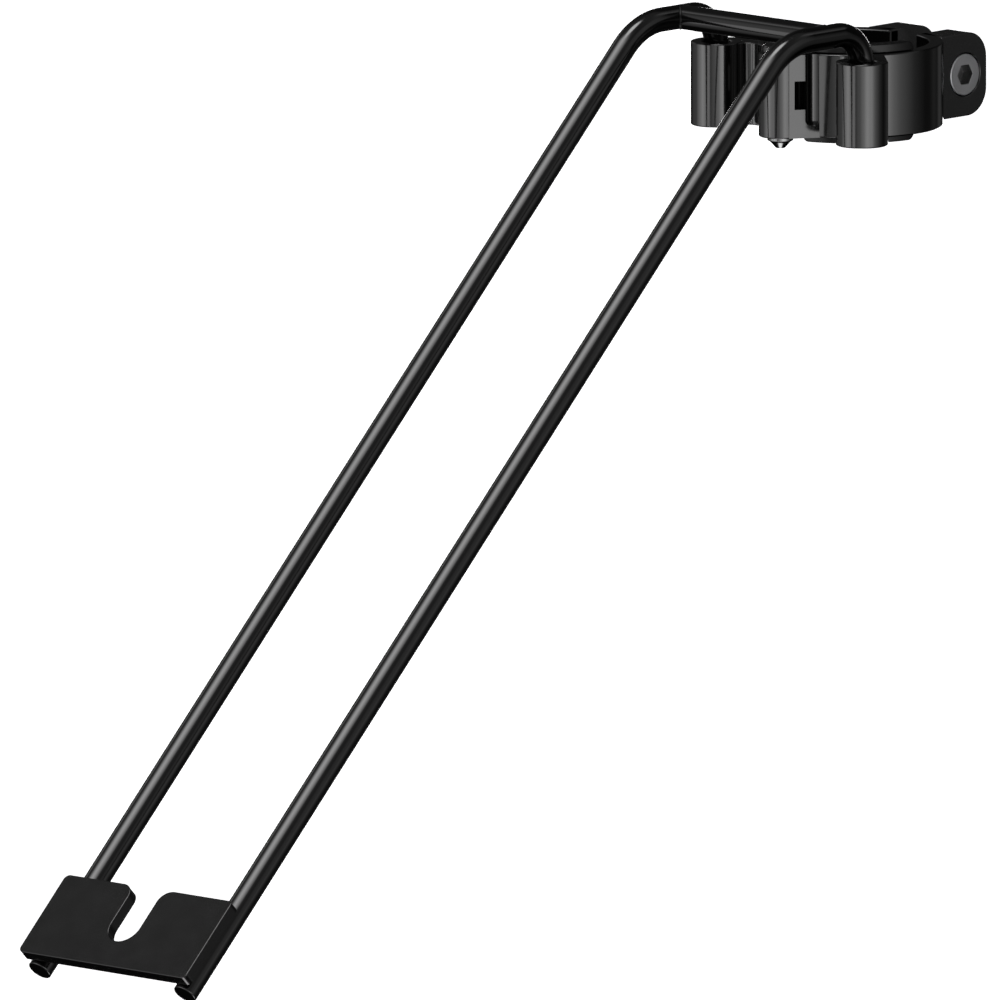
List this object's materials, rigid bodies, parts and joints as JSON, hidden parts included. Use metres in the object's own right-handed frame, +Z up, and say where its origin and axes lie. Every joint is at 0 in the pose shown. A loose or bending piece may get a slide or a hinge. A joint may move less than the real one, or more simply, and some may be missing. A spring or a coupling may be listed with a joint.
{
  "type": "bicycle rack arm",
  "caption": "Hinged tube clamp with two sockets holding a bent twin-rod arm that slopes down to a U-slotted plate.",
  "frame": {"origin": "on the axis of the clamped tube, halfway up the clamp", "axes": "+Z up along the clamped tube, +Y from the rack arm towards the clamp's ears, X across the arm, positive on the side of the bolt head"},
  "size_m": [0.1012, 0.4967, 0.3518],
  "materials": {
    "clamp_paint": "gloss black paint on steel",
    "ear_paint": "satin black paint on steel",
    "rod_paint": "gloss black paint on round bar",
    "plate_paint": "satin black paint on flat bar",
    "liner_rubber": "matt black rubber",
    "bolt_steel": "dull grey plated steel",
    "pin_steel": "blackened steel"
  },
  "bodies": {
    "clamp_right": {"clamp_band_right": "clamp_paint", "socket_tube_right": "clamp_paint", "socket_arm_right": "clamp_paint", "clamp_ear_right": "ear_paint", "hinge_barrel": "clamp_paint", "hinge_web": "clamp_paint", "clamp_liner_right": "liner_rubber"},
    "clamp_left": {"clamp_band_left": "clamp_paint", "socket_tube_left": "clamp_paint", "socket_arm_left": "clamp_paint", "clamp_ear_left": "ear_paint", "hinge_tongue": "clamp_paint", "clamp_liner_left": "liner_rubber", "clamp_nut": "bolt_steel"},
    "hinge_pin": {"hinge_pin": "pin_steel"},
    "clamp_bolt": {"clamp_bolt": "bolt_steel"},
    "rod_frame": {"side_rod_right": "rod_paint", "side_rod_left": "rod_paint", "cross_rod": "rod_paint", "cross_weld_right": "rod_paint", "cross_weld_left": "rod_paint", "slot_plate": "plate_paint", "plate_weld_right": "rod_paint", "plate_weld_left": "rod_paint"}
  },
  "joints": [
    {"name": "bolt_turn", "type": "hinge", "parent": "clamp_right", "child": "clamp_bolt", "pos_m": [0.02, 0.0464, 0], "axis": [1, 0, 0], "range_deg": [-360, 360]},
    {"name": "clamp_close", "type": "hinge", "parent": "clamp_right", "child": "clamp_left", "pos_m": [0, -0.0415, 0], "axis": [0, 0, 1], "range_deg": [-1, 1]},
    {"name": "pin_draw", "type": "slide", "parent": "clamp_right", "child": "hinge_pin", "axis": [0, 0, 1], "range_m": [0, 0.045]},
    {"name": "frame_lift", "type": "slide", "parent": "clamp_right", "child": "rod_frame", "axis": [0, 0, 1], "range_m": [0, 0.052]}
  ],
  "couplings": [
    {"joint": "clamp_close", "follows": "bolt_turn", "ratio": 0.002725}
  ]
}
